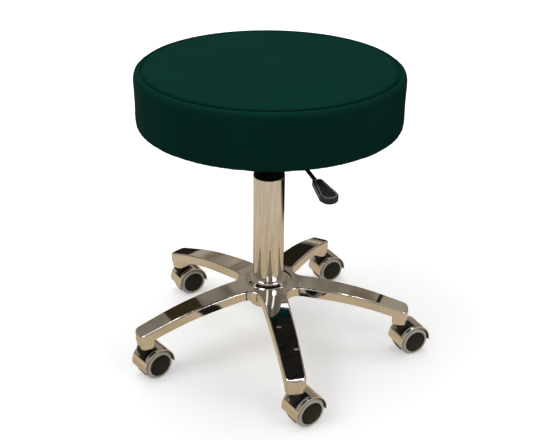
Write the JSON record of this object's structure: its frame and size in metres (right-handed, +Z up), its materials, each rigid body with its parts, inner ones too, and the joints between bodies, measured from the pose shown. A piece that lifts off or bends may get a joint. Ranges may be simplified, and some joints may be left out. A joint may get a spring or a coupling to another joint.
{
  "type": "medical rolling stool",
  "caption": "Height-adjustable rolling stool with a round padded seat, a gas lift column with a release lever, and a chromed star base on twin-wheel swivel casters.",
  "frame": {"origin": "on the floor, on the axis of the lift column", "axes": "+Z up along the column; the release lever is at the front right, towards -Y and a little +X"},
  "size_m": [0.4909, 0.4858, 0.4903],
  "materials": {
    "chrome": "polished mirror chrome",
    "bright_steel": "plain bright",
    "black_coated_steel": "satin black coating",
    "black_plastic": "satin moulded plastic",
    "grey_tread": "matt warm grey tread",
    "plywood": "plain plywood",
    "foam": "open-cell foam",
    "green_vinyl": "smooth dark green vinyl",
    "black_lining": "woven lining"
  },
  "bodies": {
    "base": {"base_star": "chrome", "caster_stems": "bright_steel", "stem_grip_rings": "bright_steel", "column_tube": "chrome", "guide_bushing": "black_plastic", "thrust_race_lower": "bright_steel"},
    "rod": {"piston_rod": "bright_steel", "rod_clip": "bright_steel", "thrust_race_upper": "bright_steel", "thrust_rollers": "bright_steel"},
    "seat": {"gas_cylinder": "black_coated_steel", "cylinder_gland": "bright_steel", "cone_socket": "bright_steel", "seat_plate": "black_coated_steel", "column_shroud": "black_plastic", "seat_board": "plywood", "seat_foam": "foam", "seat_cover": "green_vinyl", "dust_cover": "black_lining", "seat_bolts": "bright_steel", "t_nuts": "bright_steel"},
    "lever": {"lever_rod": "black_coated_steel", "lever_trunnion": "bright_steel", "lever_paddle": "black_plastic"},
    "valve": {"valve_button": "bright_steel"},
    "caster_1": {"caster_1_core": "black_plastic", "caster_1_hood": "chrome", "caster_1_axle": "bright_steel"},
    "wheel_1_left": {"caster_1_hub_left": "black_plastic", "caster_1_tread_left": "grey_tread"},
    "wheel_1_right": {"caster_1_hub_right": "black_plastic", "caster_1_tread_right": "grey_tread"},
    "caster_2": {"caster_2_core": "black_plastic", "caster_2_hood": "chrome", "caster_2_axle": "bright_steel"},
    "wheel_2_left": {"caster_2_hub_left": "black_plastic", "caster_2_tread_left": "grey_tread"},
    "wheel_2_right": {"caster_2_hub_right": "black_plastic", "caster_2_tread_right": "grey_tread"},
    "caster_3": {"caster_3_core": "black_plastic", "caster_3_hood": "chrome", "caster_3_axle": "bright_steel"},
    "wheel_3_left": {"caster_3_hub_left": "black_plastic", "caster_3_tread_left": "grey_tread"},
    "wheel_3_right": {"caster_3_hub_right": "black_plastic", "caster_3_tread_right": "grey_tread"},
    "caster_4": {"caster_4_core": "black_plastic", "caster_4_hood": "chrome", "caster_4_axle": "bright_steel"},
    "wheel_4_left": {"caster_4_hub_left": "black_plastic", "caster_4_tread_left": "grey_tread"},
    "wheel_4_right": {"caster_4_hub_right": "black_plastic", "caster_4_tread_right": "grey_tread"},
    "caster_5": {"caster_5_core": "black_plastic", "caster_5_hood": "chrome", "caster_5_axle": "bright_steel"},
    "wheel_5_left": {"caster_5_hub_left": "black_plastic", "caster_5_tread_left": "grey_tread"},
    "wheel_5_right": {"caster_5_hub_right": "black_plastic", "caster_5_tread_right": "grey_tread"}
  },
  "joints": [
    {"name": "seat_swivel", "type": "hinge", "parent": "base", "child": "rod", "pos_m": [0, 0, 0], "axis": [0, 0, 1], "continuous": true},
    {"name": "seat_height", "type": "slide", "parent": "rod", "child": "seat", "axis": [0, 0, 1], "range_m": [0, 0.13]},
    {"name": "lever_lift", "type": "hinge", "parent": "seat", "child": "lever", "pos_m": [0.01051, -0.0281, 0.3949], "axis": [-0.9367, -0.3502, 0], "range_deg": [0, 6]},
    {"name": "valve_press", "type": "slide", "parent": "seat", "child": "valve", "axis": [0, 0, -1], "range_m": [0, 0.0033], "stiffness_N_per_m": 400},
    {"name": "caster_1_swivel", "type": "hinge", "parent": "base", "child": "caster_1", "pos_m": [0.22318, -0.02859, 0.05], "axis": [0, 0, 1], "continuous": true},
    {"name": "wheel_1_left_spin", "type": "hinge", "parent": "caster_1", "child": "wheel_1_left", "pos_m": [0.23891, -0.02092, 0.025], "axis": [-0.4384, 0.8988, 0], "continuous": true},
    {"name": "wheel_1_right_spin", "type": "hinge", "parent": "caster_1", "child": "wheel_1_right", "pos_m": [0.23891, -0.02092, 0.025], "axis": [-0.4384, 0.8988, 0], "continuous": true},
    {"name": "caster_2_swivel", "type": "hinge", "parent": "base", "child": "caster_2", "pos_m": [0.09616, 0.20342, 0.05], "axis": [0, 0, 1], "continuous": true},
    {"name": "wheel_2_left_spin", "type": "hinge", "parent": "caster_2", "child": "wheel_2_left", "pos_m": [0.11146, 0.2119, 0.025], "axis": [-0.4848, 0.8746, 0], "continuous": true},
    {"name": "wheel_2_right_spin", "type": "hinge", "parent": "caster_2", "child": "wheel_2_right", "pos_m": [0.11146, 0.2119, 0.025], "axis": [-0.4848, 0.8746, 0], "continuous": true},
    {"name": "caster_3_swivel", "type": "hinge", "parent": "base", "child": "caster_3", "pos_m": [-0.16375, 0.15431, 0.05], "axis": [0, 0, 1], "continuous": true},
    {"name": "wheel_3_left_spin", "type": "hinge", "parent": "caster_3", "child": "wheel_3_left", "pos_m": [-0.14875, 0.16332, 0.025], "axis": [-0.515, 0.8572, 0], "continuous": true},
    {"name": "wheel_3_right_spin", "type": "hinge", "parent": "caster_3", "child": "wheel_3_right", "pos_m": [-0.14875, 0.16332, 0.025], "axis": [-0.515, 0.8572, 0], "continuous": true},
    {"name": "caster_4_swivel", "type": "hinge", "parent": "base", "child": "caster_4", "pos_m": [-0.19736, -0.10805, 0.05], "axis": [0, 0, 1], "continuous": true},
    {"name": "wheel_4_left_spin", "type": "hinge", "parent": "caster_4", "child": "wheel_4_left", "pos_m": [-0.18395, -0.0968, 0.025], "axis": [-0.6428, 0.766, 0], "continuous": true},
    {"name": "wheel_4_right_spin", "type": "hinge", "parent": "caster_4", "child": "wheel_4_right", "pos_m": [-0.18395, -0.0968, 0.025], "axis": [-0.6428, 0.766, 0], "continuous": true},
    {"name": "caster_5_swivel", "type": "hinge", "parent": "base", "child": "caster_5", "pos_m": [0.04177, -0.22109, 0.05], "axis": [0, 0, 1], "continuous": true},
    {"name": "wheel_5_left_spin", "type": "hinge", "parent": "caster_5", "child": "wheel_5_left", "pos_m": [0.0562, -0.21118, 0.025], "axis": [-0.5664, 0.8241, 0], "continuous": true},
    {"name": "wheel_5_right_spin", "type": "hinge", "parent": "caster_5", "child": "wheel_5_right", "pos_m": [0.0562, -0.21118, 0.025], "axis": [-0.5664, 0.8241, 0], "continuous": true}
  ],
  "couplings": [
    {"joint": "valve_press", "follows": "lever_lift", "m_per_rad": 0.03}
  ]
}
